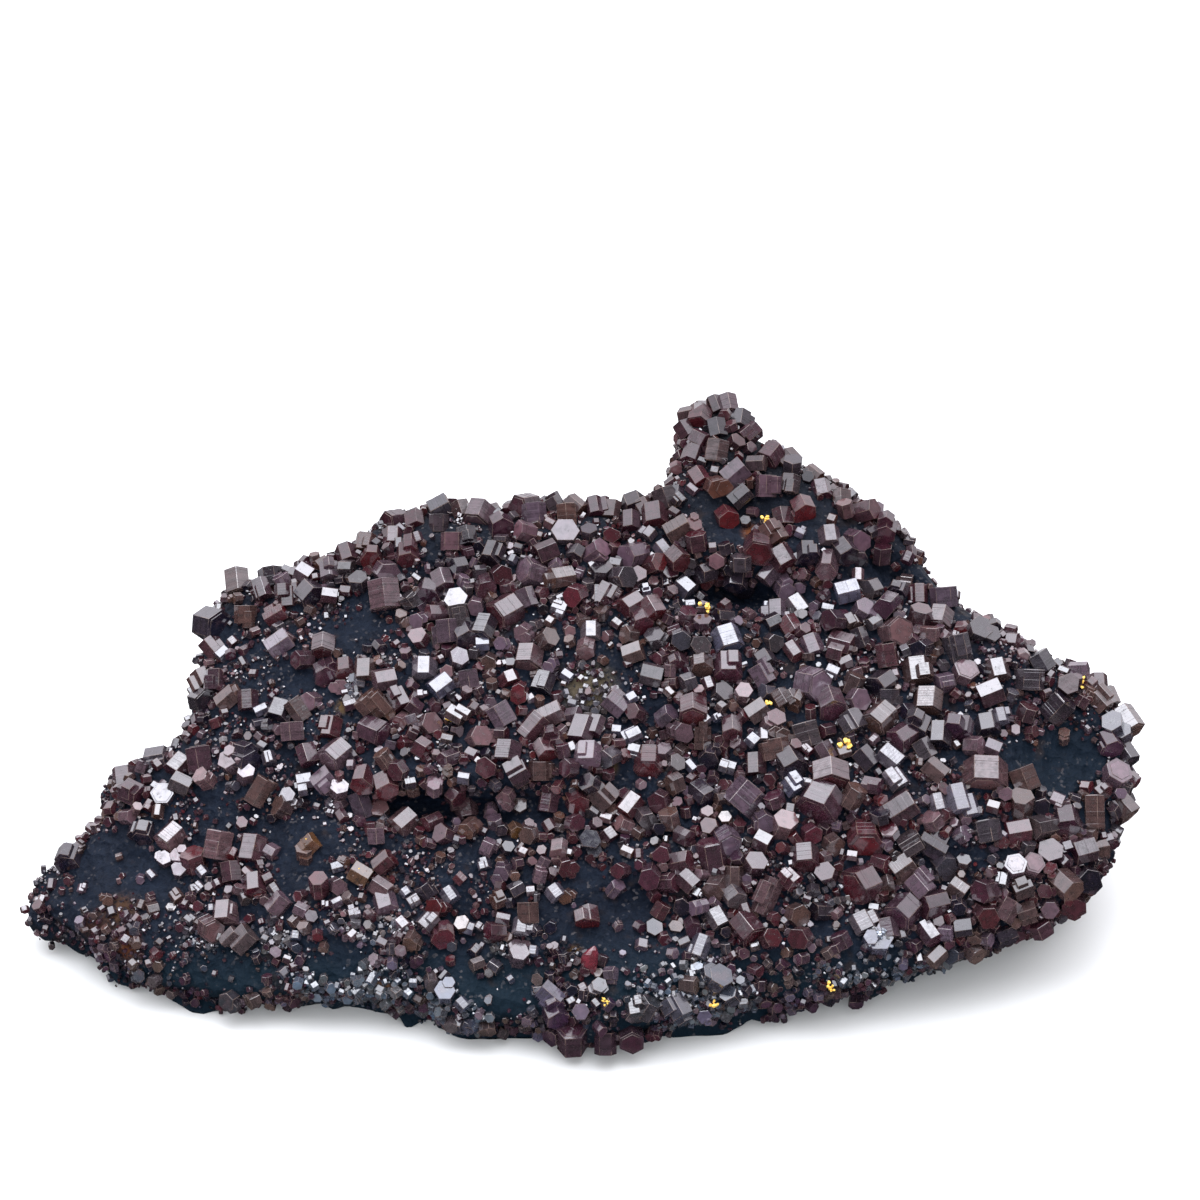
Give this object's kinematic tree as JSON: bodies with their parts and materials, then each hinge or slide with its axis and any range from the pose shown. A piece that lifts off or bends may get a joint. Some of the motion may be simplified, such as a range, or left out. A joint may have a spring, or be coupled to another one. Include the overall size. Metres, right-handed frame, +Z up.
{
  "type": "vanadinite specimen",
  "caption": "Mineral specimen: dark red six-sided vanadinite crystals crowded over the leaning face of a black manganese ore slab.",
  "frame": {"origin": "on the flat foot of the rock, near the middle of its length", "axes": "+X along the rock from its low pointed end to its high blunt end, +Y to the steep broken back, +Z up; the crystal-covered face looks toward -Y and up"},
  "size_m": [0.1781, 0.1005, 0.0639],
  "materials": {
    "manganese_ore": "dull, fine-grained black",
    "vanadinite": "glossy dark red crystal faces"
  },
  "bodies": {
    "root": {"ore_matrix": "manganese_ore", "crystal_brow_1": "vanadinite", "crystal_brow_2": "vanadinite", "crystal_brow_3": "vanadinite", "crystal_end_1": "vanadinite", "crystal_end_2": "vanadinite", "crystal_end_3": "vanadinite", "crystal_end_4": "vanadinite", "crystal_end_5": "vanadinite", "crystal_foot_1": "vanadinite", "crystal_foot_2": "vanadinite", "crystal_front_1": "vanadinite", "crystal_left_1": "vanadinite", "crystal_left_2": "vanadinite", "crystal_left_3": "vanadinite", "crystal_left_4": "vanadinite", "crystal_left_5": "vanadinite", "crystal_middle_1": "vanadinite", "crystal_middle_2": "vanadinite", "crystal_middle_3": "vanadinite", "crystal_middle_4": "vanadinite", "crystal_middle_5": "vanadinite", "crystal_middle_6": "vanadinite", "crystal_peak_1": "vanadinite", "crystal_peak_2": "vanadinite", "crystal_peak_3": "vanadinite", "crystal_peak_4": "vanadinite", "crystal_right_1": "vanadinite", "crystal_right_10": "vanadinite", "crystal_right_11": "vanadinite", "crystal_right_12": "vanadinite", "crystal_right_13": "vanadinite", "crystal_right_14": "vanadinite", "crystal_right_15": "vanadinite", "crystal_right_16": "vanadinite", "crystal_right_17": "vanadinite", "crystal_right_18": "vanadinite", "crystal_right_2": "vanadinite", "crystal_right_3": "vanadinite", "crystal_right_4": "vanadinite", "crystal_right_5": "vanadinite", "crystal_right_6": "vanadinite", "crystal_right_7": "vanadinite", "crystal_right_8": "vanadinite", "crystal_right_9": "vanadinite", "crystal_rim_1": "vanadinite", "crystal_rim_2": "vanadinite", "crystal_rim_3": "vanadinite", "crystal_rim_4": "vanadinite", "crystal_rim_5": "vanadinite", "crystal_rim_6": "vanadinite", "crystal_rim_7": "vanadinite", "crystal_rim_8": "vanadinite", "crystal_rim_9": "vanadinite", "crystal_upper_1": "vanadinite", "crystal_upper_2": "vanadinite", "crystal_upper_3": "vanadinite", "crystal_upper_4": "vanadinite", "crystal_upper_5": "vanadinite", "crystal_upper_6": "vanadinite"}
  },
  "joints": []
}
